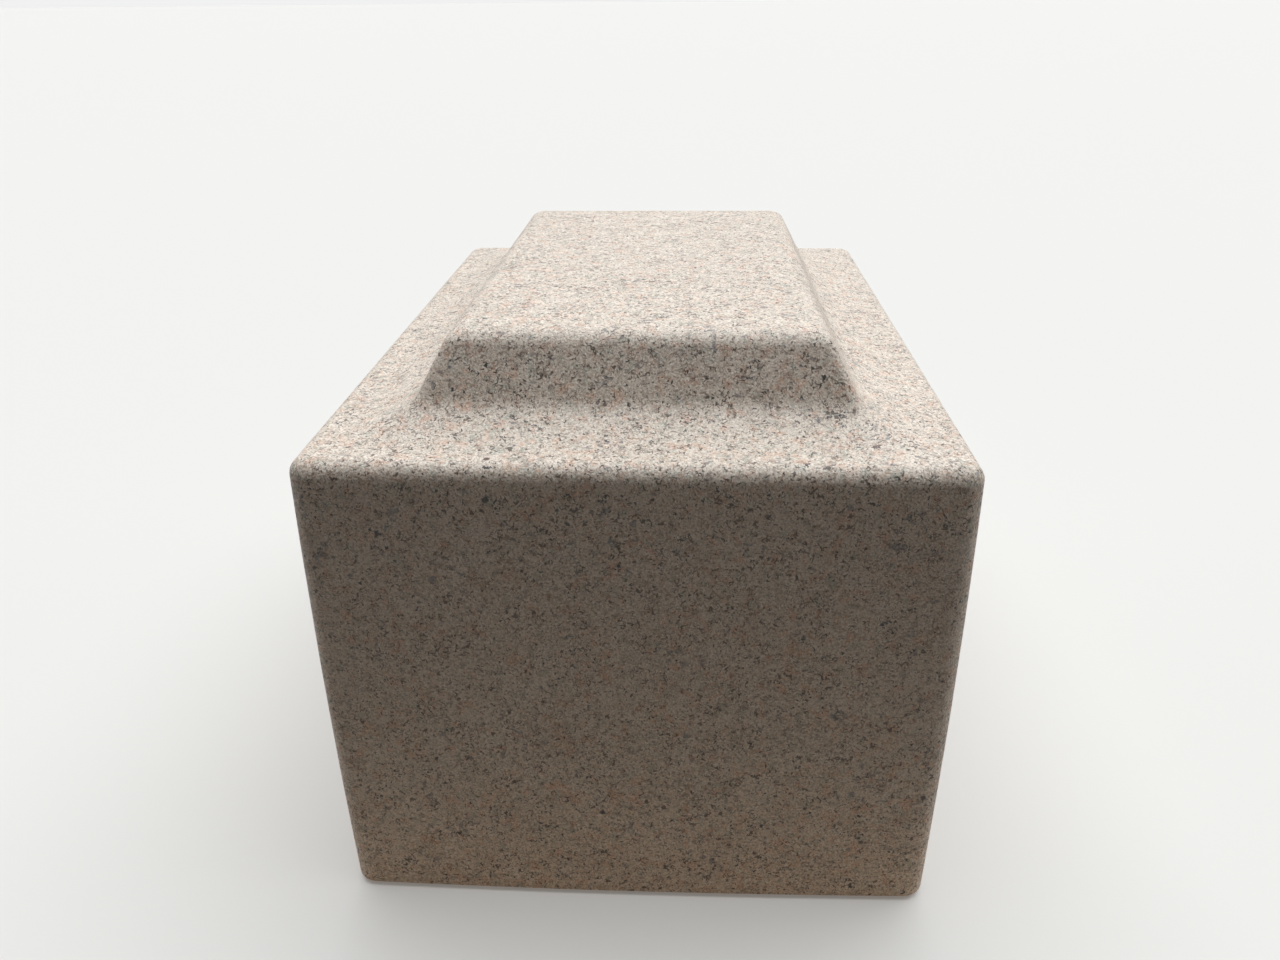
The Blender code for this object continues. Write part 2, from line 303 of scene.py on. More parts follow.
@dataclass(frozen=True)
class GraniteResin(Finish):
    """Polyester resin filled with granite chips and dust, cast in a mould.

    The eye gets a warm beige ground that drifts between pink and blue-grey, strewn with
    brown and near-black flecks about a millimetre long that lie in flocks, thin wisps of
    dark pigment, a few round chips, and a satin-matt skin with a sandy relief.
    """

    strews: tuple[Strew, ...] = (
        Strew(9.0, "#B8A494", 0.45, 0.30, share=0.28, detail=3.0),
        Strew(3.2, "#CD9D82", 0.50, 0.20, share=0.60, detail=5.0, distortion=0.5),
        Strew(2.7, "#9B9D90", 0.50, 0.20, share=0.60, detail=5.0, distortion=0.5),
        Strew(0.95, "#AF8669", 0.53, 0.12, share=0.50, detail=3.0),
        Strew(
            1.4, "#826F62", 0.53, 0.13,
            share=0.62, detail=4.0, distortion=0.8,
            gather=8.0, flocking=0.10,
        ),
        Strew(0.55, "#66543F", 0.50, 0.14, share=0.42, detail=2.0),
        Strew(0.55, "#F7ECDF", 0.52, 0.12, share=0.52),
        Strew(
            2.0, "#595A62", 0.61, 0.10,
            share=0.60, detail=5.0, distortion=0.6,
            gather=11.0, flocking=0.18,
        ),
        Strew(
            1.25, "#46372D", 0.605, 0.06,
            share=0.85, detail=3.0, distortion=1.0,
            gather=7.0, flocking=0.12,
        ),
        Strew(
            0.85, "#282628", 0.63, 0.045,
            share=0.92, detail=2.5, distortion=0.8,
            gather=5.0, flocking=0.12,
        ),
    )
    wisp_colour: str = "#33292A"
    wisp_size: float = 3.4
    wisp_width: float = 0.014
    wisp_breaks: Strew = Strew(2.4, "", 0.56, 0.06, detail=2.0, gather=11.0)
    # One cell in two or so of the scatter has a chip, with its radius as a share of a cell.
    spot_spacing: float = 8.5
    spot_rarity: float = 0.45
    spot_radius: float = 0.13
    spot_core: float = 0.62
    spot_raggedness: float = 1.5
    spot_colours: tuple[str, str] = ("#211F21", "#4A2C24")
    relief_layers: tuple[tuple[float, float], ...] = ((2.6, 0.05), (0.6, 0.16))

    def wisps(self, tree: Tree, mm: Socket) -> Socket:
        """Draws short curved hairs of pigment, along the level lines of a noise.

        Args:
            tree: The material's node tree.
            mm: Object coordinates in millimetres.

        Returns:
            A socket that runs from 0 to 1 on a hair.
        """
        field = add_node(
            tree,
            "TexNoise",
            {"Vector": mm, "Scale": 1 / self.wisp_size, "Detail": 1.5, "Distortion": 0.8},
        )
        level = add_node(tree, "Math", {0: field.outputs[0], 1: 0.5}, operation="SUBTRACT")
        distance = add_node(tree, "Math", {0: level.outputs[0]}, operation="ABSOLUTE")
        line = add_node(
            tree,
            "MapRange",
            {"Value": distance.outputs[0], 1: self.wisp_width, 2: 0.0, 3: 0.0, 4: 1.0},
        )
        broken = self.wisp_breaks.mask(tree, mm, WISP_SEED)
        hairs = add_node(tree, "Math", {0: line.outputs[0], 1: broken}, operation="MULTIPLY")
        return hairs.outputs[0]

    def spots(
        self, tree: Tree, mm: Socket
    ) -> tuple[Socket, Socket]:
        """Draws the few larger chips, one in some of the cells of a scatter.

        Args:
            tree: The material's node tree.
            mm: Object coordinates in millimetres.

        Returns:
            Sockets for how much of a chip shows, and for its colour.
        """
        ragged = add_node(tree, "TexNoise", {"Vector": mm, "Scale": 1.1, "Detail": 2.0})
        centred = add_node(
            tree,
            "VectorMath",
            {0: ragged.outputs["Color"], 1: (0.5, 0.5, 0.5)},
            operation="SUBTRACT",
        )
        pushed = add_node(
            tree,
            "VectorMath",
            {0: centred.outputs[0], "Scale": self.spot_raggedness},
            operation="SCALE",
        )
        moved = add_node(tree, "VectorMath", {0: mm, 1: pushed.outputs[0]}, operation="ADD")
        cells = add_node(
            tree, "TexVoronoi", {"Vector": moved.outputs[0], "Scale": 1 / self.spot_spacing}
        )
        chance = add_node(tree, "SeparateColor", {0: cells.outputs["Color"]})
        radius = add_node(
            tree,
            "MapRange",
            {"Value": chance.outputs[0], 1: self.spot_rarity, 2: 1.0, 3: 0.0, 4: self.spot_radius},
        )
        away, rim = cells.outputs["Distance"], radius.outputs[0]
        core = add_node(tree, "Math", {0: rim, 1: self.spot_core}, operation="MULTIPLY")
        shown = add_node(
            tree, "MapRange", {"Value": away, 1: rim, 2: core.outputs[0], 3: 0.0, 4: 0.9}
        )
        dark, red = (linear(colour) for colour in self.spot_colours)
        kind = add_node(
            tree, "MapRange", {"Value": chance.outputs[1], 1: 0.6, 2: 0.75, 3: 0.0, 4: 1.0}
        )
        colour = add_node(tree, "Mix", {0: kind.outputs[0], 6: dark, 7: red}, data_type="RGBA")
        return shown.outputs[0], colour.outputs[2]

    def dress(self, tree: Tree, shader: Node, mm: Socket) -> None:
        """Adds the ground, the strewn chips, the wisps, the spots and the sandy relief."""
        colour = linear(self.colour)
        layers = [
            (strew.mask(tree, mm, SEED_STEP * number), linear(strew.colour))
            for number, strew in enumerate(self.strews, start=1)
        ]
        layers.append((self.wisps(tree, mm), linear(self.wisp_colour)))
        layers.append(self.spots(tree, mm))
        for shown, laid in layers:
            mixed = add_node(tree, "Mix", {0: shown, 6: colour, 7: laid}, data_type="RGBA")
            colour = mixed.outputs[2]
        tree.links.new(colour, shader.inputs["Base Color"])
        self.vary_roughness(tree, shader, mm, 4.0, 0.06)
        self.relief(tree, shader, mm, self.relief_layers)


@dataclass(frozen=True)
class SiliconeBead(Finish):
    """Neutral-cure silicone, tooled with a finger: smooth, slightly milky, with drag marks."""

    def dress(self, tree: Tree, shader: Node, mm: Socket) -> None:
        """Adds a little depth, cloudy gloss and drag marks."""
        shader.inputs["Subsurface Weight"].default_value = 0.15
        shader.inputs["Subsurface Radius"].default_value = (1.0 * MM, 0.9 * MM, 0.8 * MM)
        cloud = add_node(tree, "TexNoise", {"Vector": mm, "Scale": 1 / 6.0, "Detail": 3.0})
        tint = add_node(
            tree,
            "Mix",
            {0: cloud.outputs[0], 6: linear(self.colour), 7: linear("#A89D8E")},
            data_type="RGBA",
        )
        tree.links.new(tint.outputs[2], shader.inputs["Base Color"])
        self.vary_roughness(tree, shader, mm, 3.0, 0.08)
        self.relief(tree, shader, mm, ((5.0, 0.25), (1.2, 0.03)))


@dataclass(frozen=True)
class MouldedPolymer(Finish):
    """Polypropylene moulded in a spark-eroded tool: near-black with an even, fine grain."""

    worn_colour: str = "#343536"
    grain: float = 0.35
    grain_height: float = 0.02

    def dress(self, tree: Tree, shader: Node, mm: Socket) -> None:
        """Adds flow tints, uneven gloss and the tool's grain."""
        flow = add_node(tree, "Mapping", {"Vector": mm, "Scale": (1 / 14.0, 1 / 9.0, 1 / 5.0)})
        cloud = add_node(tree, "TexNoise", {"Vector": flow.outputs[0], "Scale": 1.0, "Detail": 4.0})
        tint = add_node(
            tree,
            "Mix",
            {0: cloud.outputs[0], 6: linear(self.colour), 7: linear(self.worn_colour)},
            data_type="RGBA",
        )
        tree.links.new(tint.outputs[2], shader.inputs["Base Color"])
        self.vary_roughness(tree, shader, mm, 2.5, 0.07)
        self.relief(tree, shader, mm, ((self.grain, self.grain_height),))


@dataclass(frozen=True)
class Rubber(Finish):
    """Rubber cut from sheet or moulded: matt, dusty, with a fine napped relief."""

    dust: str = "#4A4743"
    nap: float = 0.4
    nap_height: float = 0.03

    def dress(self, tree: Tree, shader: Node, mm: Socket) -> None:
        """Adds dust in patches and the nap."""
        dusty = Strew(2.2, self.dust, 0.45, 0.3, share=0.5, detail=4.0).mask(tree, mm, 3.0)
        tint = add_node(
            tree, "Mix", {0: dusty, 6: linear(self.colour), 7: linear(self.dust)}, data_type="RGBA"
        )
        tree.links.new(tint.outputs[2], shader.inputs["Base Color"])
        self.vary_roughness(tree, shader, mm, 2.0, 0.06)
        self.relief(tree, shader, mm, ((self.nap, self.nap_height),))


# ---------------------------------------------------------------- mesh helpers


@dataclass(frozen=True)
class Ring:
    """A level rounded rectangle, drawn in from a footprint by its inset."""

    inset: float
    corner: float
    height: float


@dataclass(frozen=True)
class Outline:
    """A footprint whose rings all have their points at the same stations."""

    half_x: float
    half_y: float
    spacing: float
    corner_steps: int = 8

    def stations(self) -> list[tuple[int, float, float]]:
        """Lists each point of a ring: its corner, turn round it, and way to the next corner."""
        marks = []
        for corner in range(4):
            side = self.half_x if corner % 2 == 0 else self.half_y
            straight = max(1, round(2 * side / self.spacing))
            turns = [step / self.corner_steps for step in range(self.corner_steps + 1)]
            marks += [(corner, turn, 0.0) for turn in turns]
            marks += [(corner, 1.0, step / straight) for step in range(1, straight)]
        return marks

    def on_corner(self, ring: Ring, corner: int, turn: float) -> Vector:
        """Gives a point on one of a ring's four corner arcs.

        Args:
            ring: The ring.
            corner: The corner, from 0 to 3, anticlockwise from +X +Y.
            turn: How far round its arc the point is, from 0 to 1.

        Returns:
            The point.
        """
        sign_x = 1 if corner % 4 in (0, 3) else -1
        sign_y = 1 if corner % 4 in (0, 1) else -1
        angle = (corner + turn) * QUARTER_TURN
        reach_x = self.half_x - ring.inset - ring.corner
        reach_y = self.half_y - ring.inset - ring.corner
        x = sign_x * reach_x + ring.corner * math.cos(angle)
        y = sign_y * reach_y + ring.corner * math.sin(angle)
        return Vector((x, y, ring.height))

    def loop(self, ring: Ring) -> Loop:
        """Lists a ring's points, station by station."""
        points = []
        for corner, turn, along in self.stations():
            start = self.on_corner(ring, corner, turn)
            end = self.on_corner(ring, corner + 1, 0.0)
            points.append(start.lerp(end, along))
        return points

    def circle(self, radius: float, height: float) -> Loop:
        """Lists points on a circle that face the stations of the footprint's own ring."""
        facing = self.loop(Ring(0.0, MM, height))
        return [Vector((*(radius * point.xy.normalized()), height)) for point in facing]


def sweep_loops(loops: list[Loop], closed: bool) -> Shape:
    """Extrudes one loop of points through the others.

    Args:
        loops: The loops in order, all with the same number of points.
        closed: True where the last loop meets the first, as in a frame. Otherwise a face
            closes each end.

    Returns:
        A closed bmesh. Its "loop" layer holds the number of each point's loop.
    """
    shape = bmesh.new()
    station = shape.verts.layers.int.new("station")
    number = shape.verts.layers.int.new("loop")
    moved = bmesh.ops.create_circle(shape, radius=1.0, segments=len(loops[0]))["verts"]
    for index, vert in enumerate(moved):
        vert[station] = index
    first = front = list(shape.edges)
    for count, loop in enumerate(loops):
        if count:
            made = bmesh.ops.extrude_edge_only(shape, edges=front)["geom"]
            front = [item for item in made if isinstance(item, bmesh.types.BMEdge)]
            moved = [item for item in made if isinstance(item, bmesh.types.BMVert)]
        for vert in moved:
            vert.co = loop[vert[station]]
            vert[number] = count
    if closed:
        bmesh.ops.bridge_loops(shape, edges=first + front)
    else:
        bmesh.ops.holes_fill(shape, edges=first + front, sides=0)
    bmesh.ops.recalc_face_normals(shape, faces=shape.faces)
    return shape


def turn_profile(profile: list[tuple[float, float]], steps: int, closed: bool = False) -> Shape:
    """Spins a profile once round the Z axis.

    Args:
        profile: Radius and height of each point.
        steps: How many facets go round.
        closed: True where the last point joins the first, as in a ring.

    Returns:
        A closed bmesh.
    """
    shape = bmesh.new()
    verts = [shape.verts.new((radius, 0.0, height)) for radius, height in profile]
    edges = [shape.edges.new(pair) for pair in zip(verts, verts[1:])]
    if closed:
        edges.append(shape.edges.new((verts[-1], verts[0])))
    bmesh.ops.spin(
        shape,
        geom=verts + edges,
        cent=(0, 0, 0),
        axis=(0, 0, 1),
        angle=FULL_TURN,
        steps=steps,
        use_merge=True,
    )
    bmesh.ops.remove_doubles(shape, verts=shape.verts, dist=MERGE_DISTANCE)
    bmesh.ops.recalc_face_normals(shape, faces=shape.faces)
    return shape


def soften_edges(shape: Shape, radius: float, segments: int = 3) -> None:
    """Rounds every sharp edge of a shape.

    Args:
        shape: The shape.
        radius: The width that each rounding takes from its faces.
        segments: Facets across the rounding.
    """
    sharp = [
        edge for edge in shape.edges if edge.is_manifold and edge.calc_face_angle() > SHARP_ANGLE
    ]
    bmesh.ops.bevel(
        shape,
        geom=sharp,
        offset=radius,
        segments=segments,
        profile=0.5,
        affect="EDGES",
        material=-1,
        clamp_overlap=True,
    )
    bmesh.ops.dissolve_degenerate(shape, dist=MERGE_DISTANCE, edges=shape.edges)


def arc_points(
    centre: tuple[float, float], radius: float, start: float, end: float, steps: int
) -> list[tuple[float, float]]:
    """Lists inset and height along an arc.

    Args:
        centre: Inset and height of the arc's centre.
        radius: The arc's radius.
        start: Angle of its first point, from outwards, turning up.
        end: Angle of its last point.
        steps: Facets along it.

    Returns:
        Inset and height of each point.
    """
    points = []
    for step in range(steps + 1):
        angle = start + (end - start) * step / steps
        points.append((centre[0] - radius * math.cos(angle), centre[1] + radius * math.sin(angle)))
    return points


def publish(
    shape: Shape, name: str, node: str, body: Body, dress: bpy.types.Material
) -> bpy.types.Object:
    """Turns a finished shape into a piece that stands for one CAD node.

    Args:
        shape: The shape, in place. It is freed.
        name: The piece's name.
        node: The CAD node that the piece stands for.
        body: The body that it rides on.
        dress: Its material.

    Returns:
        The new object.
    """
    mesh = bpy.data.meshes.new(name)
    shape.to_mesh(mesh)
    shape.free()
    mesh.shade_smooth()
    mesh.set_sharp_from_angle(angle=SHARP_ANGLE)
    mesh.materials.append(dress)
    piece = bpy.data.objects.new(name, mesh)
    bpy.context.scene.collection.objects.link(piece)
    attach(piece, body.value)
    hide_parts(node)
    log.info("%s stands for %s: %d faces", name, node, len(mesh.polygons))
    return piece


# ---------------------------------------------------------------- the urn


@dataclass
class Casting:
    """The hollow casting: straight walls, a ledge, and a coved plateau with a flat top."""

    finish: Finish
    corner: float = 6.0 * MM
    ledge_edge: float = 4.2 * MM
    bottom_edge: float = 1.0 * MM
    plateau_rise: float = 22.0 * MM
    ledge_width: float = 5.62 * MM
    ledge_corner: float = 1.0 * MM
    run_out: float = 40.0 * MM
    run_out_angle: float = math.radians(25)
    cove: float = 9.0 * MM
    cove_corner: float = 14.0 * MM
    wall_angle: float = math.radians(62)
    wall_corner: float = 3.0 * MM
    brow: float = 6.5 * MM
    top_corner: float = 2.0 * MM
    wall: float = 12.0 * MM
    chamber_corner: float = 10.0 * MM
    chamber_fillet: float = 7.0 * MM
    upper_inset: float = 4.0 * MM
    upper_corner: float = 8.0 * MM
    rim_wall: float = 5.5 * MM
    rebate_corner: float = 4.0 * MM
    rebate_clearance: float = 0.3 * MM
    spacing: float = 3.0 * MM
    arc_steps: int = 12
    # The walls stand full at mid height and are drawn in by this much above and below.
    belly: float = 0.6 * MM
    # The upright corners are drawn in by this much at the foot, and not at the ledge.
    corner_draw: float = 1.2 * MM
    # The skin wanders by this much where it was rubbed down, always inwards.
    rubbing: float = 0.12 * MM
    rubbing_size: float = 24.0 * MM

    def __post_init__(self) -> None:
        """Reads the casting's box and works out where its plateau stands."""
        self.low, self.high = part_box("urn_shell")
        self.ledge_height = self.high.z - self.plateau_rise
        self.outline = Outline(self.high.x, self.high.y, self.spacing)
        inset, height = self.cove_points()[-1]
        straight = self.high.z - self.brow * (1 - math.cos(self.wall_angle)) - height
        run = straight / math.tan(self.wall_angle) + self.brow * math.sin(self.wall_angle)
        self.flat_inset = inset + run

    def cove_points(self) -> list[tuple[float, float]]:
        """Lists insets and heights up a long run-out and the tight cove that ends at the wall."""
        points = []
        for step in range(self.arc_steps + 1):
            angle = self.run_out_angle * step / self.arc_steps
            inset = self.ledge_width + self.run_out * math.sin(angle)
            points.append((inset, self.ledge_height + self.run_out * (1 - math.cos(angle))))
        inset, height = points[-1]
        for step in range(1, self.arc_steps + 1):
            turned = (self.wall_angle - self.run_out_angle) * step / self.arc_steps
            angle = self.run_out_angle + turned
            run = self.cove * (math.sin(angle) - math.sin(self.run_out_angle))
            rise = self.cove * (math.cos(self.run_out_angle) - math.cos(angle))
            points.append((inset + run, height + rise))
        return points

    def levels(self, low: float, high: float) -> list[float]:
        """Lists heights between two, a spacing apart, without the two themselves."""
        steps = max(1, round((high - low) / self.spacing))
        return [low + (high - low) * step / steps for step in range(1, steps)]

    def chamber_rings(self) -> list[Ring]:
        """Lists the chamber's rings, from its upper ceiling down to the rebate's mouth."""
        upper = self.flat_inset + self.upper_inset
        fillet = self.chamber_fillet
        ceiling = self.high.z - self.wall - fillet
        rings = []
        centre = (upper + fillet, ceiling)
        for inset, height in reversed(arc_points(centre, fillet, 0.0, QUARTER_TURN, 8)):
            rings.append(Ring(inset, self.upper_corner, height))
        rings.append(Ring(upper, self.upper_corner, self.ledge_height - self.wall))
        ceiling = self.ledge_height - self.wall - fillet
        centre = (self.wall + fillet, ceiling)
        for inset, height in reversed(arc_points(centre, fillet, 0.0, QUARTER_TURN, 8)):
            rings.append(Ring(inset, self.chamber_corner, height))
        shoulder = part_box("base_plate")[1].z + self.rebate_clearance
        rings.append(Ring(self.wall, self.chamber_corner, shoulder))
        rings.append(Ring(self.rim_wall, self.rebate_corner, shoulder))
        rings.append(Ring(self.rim_wall, self.rebate_corner, self.low.z))
        return rings

    def body_rings(self) -> list[Ring]:
        """Lists the rings of the bottom edge, the upright walls and the ledge's round edge."""
        edge = self.bottom_edge
        rings = []
        for inset, height in arc_points((edge, self.low.z + edge), edge, -QUARTER_TURN, 0.0, 4):
            rings.append(Ring(inset, self.corner - inset, height))
        edge = self.ledge_edge
        for height in self.levels(self.low.z + self.bottom_edge, self.ledge_height - edge):
            rings.append(Ring(0.0, self.corner, height))
        centre = (edge, self.ledge_height - edge)
        for inset, height in arc_points(centre, edge, 0.0, QUARTER_TURN, self.arc_steps):
            rings.append(Ring(inset, max(self.corner - inset, self.ledge_corner), height))
        return rings

    def plateau_rings(self) -> list[Ring]:
        """Lists the rings from the ledge up the cove and the sloping wall to the flat top."""
        cove = self.cove_points()
        foot, wall = cove[0][0], cove[-1][0]
        inset = (self.ledge_edge + foot) / 2
        rings = [Ring(inset, (self.ledge_corner + self.cove_corner) / 2, self.ledge_height)]
        for inset, height in cove:
            share = (inset - foot) / (wall - foot)
            corner = self.cove_corner + share * (self.wall_corner - self.cove_corner)
            rings.append(Ring(inset, corner, height))
        start = QUARTER_TURN - self.wall_angle
        centre = (self.flat_inset, self.high.z - self.brow)
        brow = arc_points(centre, self.brow, start, QUARTER_TURN, self.arc_steps)
        for step, (inset, height) in enumerate(brow):
            share = step / self.arc_steps
            corner = self.wall_corner + share * (self.top_corner - self.wall_corner)
            rings.append(Ring(inset, corner, height))
        for step in range(1, 7):
            rings.append(Ring(self.flat_inset + step * self.spacing, self.top_corner, self.high.z))
        return rings

    def settle(self, point: Vector) -> Vector:
        """Gives where a point of the true box ends up as the casting cures and shrinks.

        Args:
            point: A point of the outside.

        Returns:
            The point, drawn in above and below mid height, and at the corners of the foot.
        """
        climb = min(1.0, (point.z - self.low.z) / (self.ledge_height - self.low.z))
        share_x = point.x / self.high.x
        share_y = point.y / self.high.y
        bowed = self.belly * (2 * climb - 1) ** 2
        foot = self.corner_draw * (1 - climb)
        x = point.x - share_x * (bowed + foot * share_y**2)
        y = point.y - share_y * (bowed + foot * share_x**2)
        return Vector((x, y, point.z))

    def age_skin(self, shape: Shape, first: int, last: int) -> None:
        """Lets the outside settle, and wander as hand rubbing leaves it.

        Args:
            shape: The casting.
            first: Number of the first loop outside.
            last: Number of the loop after the last one.
        """
        number = shape.verts.layers.int["loop"]
        shape.normal_update()
        for vert in shape.verts:
            if first <= vert[number] < last:
                depth = 0.5 + 0.5 * noise.noise(vert.co / self.rubbing_size)
                vert.co = self.settle(vert.co - vert.normal * (depth * self.rubbing))

    def build(self) -> None:
        """Models the casting as one skin, from the chamber's ceiling round to the flat top."""
        inside = self.chamber_rings()
        outside = self.body_rings() + self.plateau_rings()
        shape = sweep_loops([self.outline.loop(ring) for ring in inside + outside], closed=False)
        self.age_skin(shape, len(inside), len(inside) + len(outside))
        dress = self.finish.material()
        publish(shape, "granite_casting", "urn_shell", Body.URN, dress)


@dataclass
class BaseClosure:
    """The base plate in its rebate, and the bead that seals the seam round it."""

    plate_finish: Finish
    bead_finish: Finish
    plate_corner: float = 2.0 * MM
    plate_edge: float = 0.5 * MM
    bead_corner: float = 3.7 * MM
    bead_hollow: float = 0.7 * MM
    clearance: float = 0.3 * MM
    collar_radius: float = 30.9 * MM
    flange_height: float = 8.9 * MM
    spacing: float = 4.0 * MM

    def build_plate(self) -> None:
        """Models the plate with its stepped hole for the collar."""
        low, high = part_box("base_plate")
        outline = Outline(high.x, high.y, self.spacing, corner_steps=4)
        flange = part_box("thread_collar")[1].x + self.clearance
        neck = self.collar_radius + self.clearance
        step = self.flange_height + self.clearance
        edge, corner = self.plate_edge, self.plate_corner
        loops = [
            outline.circle(flange + edge, low.z),
            outline.circle(flange, low.z + edge),
            outline.circle(flange, step),
            outline.circle(neck, step),
            outline.circle(neck, high.z),
            outline.loop(Ring(edge, corner - edge, high.z)),
            outline.loop(Ring(0.0, corner, high.z - edge)),
            outline.loop(Ring(0.0, corner, low.z + edge)),
            outline.loop(Ring(edge, corner - edge, low.z)),
        ]
        shape = sweep_loops(loops, closed=True)
        dress = self.plate_finish.material()
        publish(shape, "sanded_base", "base_plate", Body.URN, dress)

    def build_bead(self) -> None:
        """Models the bead, with the hollow face that a finger leaves."""
        low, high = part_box("seam_sealant")
        outline = Outline(high.x, high.y, self.spacing, corner_steps=6)
        seam = high.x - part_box("base_plate")[1].x - self.clearance
        steps = 6
        loops = []
        for step in range(steps + 1):
            share = step / steps
            height = low.z + self.bead_hollow * math.sin(math.pi * share)
            loops.append(outline.loop(Ring(seam * share, self.bead_corner - seam * share, height)))
        loops.append(outline.loop(Ring(seam, self.bead_corner - seam, high.z)))
        loops.append(outline.loop(Ring(0.0, self.bead_corner, high.z)))
        shape = sweep_loops(loops, closed=True)
        dress = self.bead_finish.material()
        publish(shape, "tooled_bead", "seam_sealant", Body.URN, dress)

    def build(self) -> None:
        """Builds the plate and the bead."""
        self.build_plate()
        self.build_bead()


@dataclass(frozen=True)
class Thread:
    """A rounded moulded thread, right-handed, that winds up round Z."""

    start: float
    turns: float
    pitch: float = 4.0 * MM
    height: float = 1.6 * MM
    crest: float = 1.0 * MM
    foot: float = 2.0 * MM
    run_out: float = 1 / 6

    def rise(self, angle: float, height: float) -> float:
        """Gives how far the tooth stands out at a point on its cylinder.

        Args:
            angle: The point's angle about Z, in radians.
            height: Its height.

        Returns:
            The tooth's rise there, from 0 to its full height.
        """
        turn = (angle % FULL_TURN) / FULL_TURN
        lap = round((height - self.start) / self.pitch - turn)
        wound = turn + lap
        if not 0.0 <= wound <= self.turns:
            return 0.0
        aside = abs(height - self.start - wound * self.pitch)
        flank = (self.foot / 2 - aside) / ((self.foot - self.crest) / 2)
        grown = min(1.0, wound / self.run_out, (self.turns - wound) / self.run_out)
        return self.height * grown * max(0.0, min(1.0, flank))

    def cut(self, shape: Shape, radius: float, outwards: float) -> None:
        """Raises the tooth from a cylinder.

        Args:
            shape: The turned shape.
            radius: The cylinder's radius.
            outwards: 1 for a tooth on a barrel, -1 for one in a bore.
        """
        for vert in shape.verts:
            if abs(vert.co.xy.length - radius) > 0.05 * MM:
                continue
            rise = self.rise(math.atan2(vert.co.y, vert.co.x), vert.co.z)
            vert.co.xy *= (radius + outwards * rise) / radius


@dataclass
class ScrewClosure:
    """The threaded collar in the base plate, the screw plug in it, and the plug's gasket."""

    collar_finish: Finish
    plug_finish: Finish
    gasket_finish: Finish
    bore: float = 28.5 * MM
    collar_radius: float = 30.9 * MM
    flange_height: float = 8.9 * MM
    head_recess: float = 34.5 * MM
    seat: float = 7.0 * MM
    barrel: float = 26.2 * MM
    head_thickness: float = 2.7 * MM
    crown: float = 2.0 * MM
    well: float = 23.5 * MM
    grip_bar: float = 9.0 * MM
    edge: float = 0.35 * MM
    grip_edge: float = 1.0 * MM
    row: float = 0.25 * MM
    steps: int = 128
    collar_thread: Thread = Thread(start=8.5 * MM, turns=2.5)
    plug_thread: Thread = Thread(start=10.5 * MM, turns=1.75)

    def rows(self, radius: float, start: float, end: float) -> list[tuple[float, float]]:
        """Lists points up or down a cylinder, close enough to carry a thread."""
        count = round(abs(end - start) / self.row)
        return [(radius, start + (end - start) * step / count) for step in range(1, count)]

    def build_collar(self) -> None:
        """Turns the collar, rounds its edges and raises the thread in its bore."""
        low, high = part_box("thread_collar")
        flange = high.x
        profile = [
            (self.bore, high.z),
            (self.collar_radius, high.z),
            (self.collar_radius, self.flange_height),
            (flange, self.flange_height),
            (flange, low.z),
            (self.head_recess, low.z),
            (self.head_recess, self.seat),
            (self.bore, self.seat),
        ]
        profile += self.rows(self.bore, self.seat, high.z)
        shape = turn_profile(profile, self.steps, closed=True)
        soften_edges(shape, self.edge)
        self.collar_thread.cut(shape, self.bore, -1.0)
        dress = self.collar_finish.material()
        publish(shape, "moulded_collar", "thread_collar", Body.URN, dress)

    def build_plug(self) -> None:
        """Turns the plug, sinks the two finger wells beside its grip bar and raises its thread."""
        low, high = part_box("screw_plug")
        head = high.x
        head_top = low.z + self.head_thickness
        profile = [(0.0, high.z), (self.barrel, high.z)]
        profile += self.rows(self.barrel, high.z, head_top)
        profile += [(self.barrel, head_top), (head, head_top), (head, low.z), (self.well, low.z)]
        shape = turn_profile(profile, self.steps)
        rim = [edge for edge in shape.edges if edge.is_boundary]
        bmesh.ops.contextual_create(shape, geom=rim)
        for side in (-1.0, 1.0):
            middles = [(face, face.calc_center_median()) for face in shape.faces]
            under = [
                face
                for face, middle in middles
                if middle.xy.length < self.well and abs(middle.z - low.z) < MERGE_DISTANCE
            ]
            geom = {item for face in under for item in (face, *face.edges, *face.verts)}
            bmesh.ops.bisect_plane(
                shape,
                geom=list(geom),
                dist=MERGE_DISTANCE,
                plane_co=(side * self.grip_bar / 2, 0.0, 0.0),
                plane_no=(1.0, 0.0, 0.0),
            )
        wells = [
            face
            for face in shape.faces
            if abs(face.calc_center_median().z - low.z) < MERGE_DISTANCE
            and self.grip_bar / 2 < abs(face.calc_center_median().x)
            and face.calc_center_median().xy.length < self.well
        ]
        for face in wells:
            made = bmesh.ops.extrude_face_region(shape, geom=[face])["geom"]
            sunk = [item for item in made if isinstance(item, bmesh.types.BMVert)]
            bmesh.ops.translate(shape, verts=sunk, vec=(0.0, 0.0, high.z - self.crown - low.z))
        bmesh.ops.delete(shape, geom=wells, context="FACES_ONLY")
        bmesh.ops.recalc_face_normals(shape, faces=shape.faces)
        soften_edges(shape, self.edge)
        self.plug_thread.cut(shape, self.barrel, 1.0)
        dress = self.plug_finish.material()
        publish(shape, "moulded_plug", "screw_plug", Body.PLUG, dress)

    def build_gasket(self) -> None:
        """Turns the flat gasket with its cut edges just broken."""
        low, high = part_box("plug_gasket")
        inner = self.barrel + 0.3 * MM
        profile = [(inner, high.z), (high.x, high.z), (high.x, low.z), (inner, low.z)]
        shape = turn_profile(profile, self.steps, closed=True)
        soften_edges(shape, 0.2 * MM, segments=2)
        dress = self.gasket_finish.material()
        publish(shape, "cut_gasket", "plug_gasket", Body.GASKET, dress)

    def build(self) -> None:
        """Builds the collar, the plug and the gasket."""
        self.build_collar()
        self.build_plug()
        self.build_gasket()


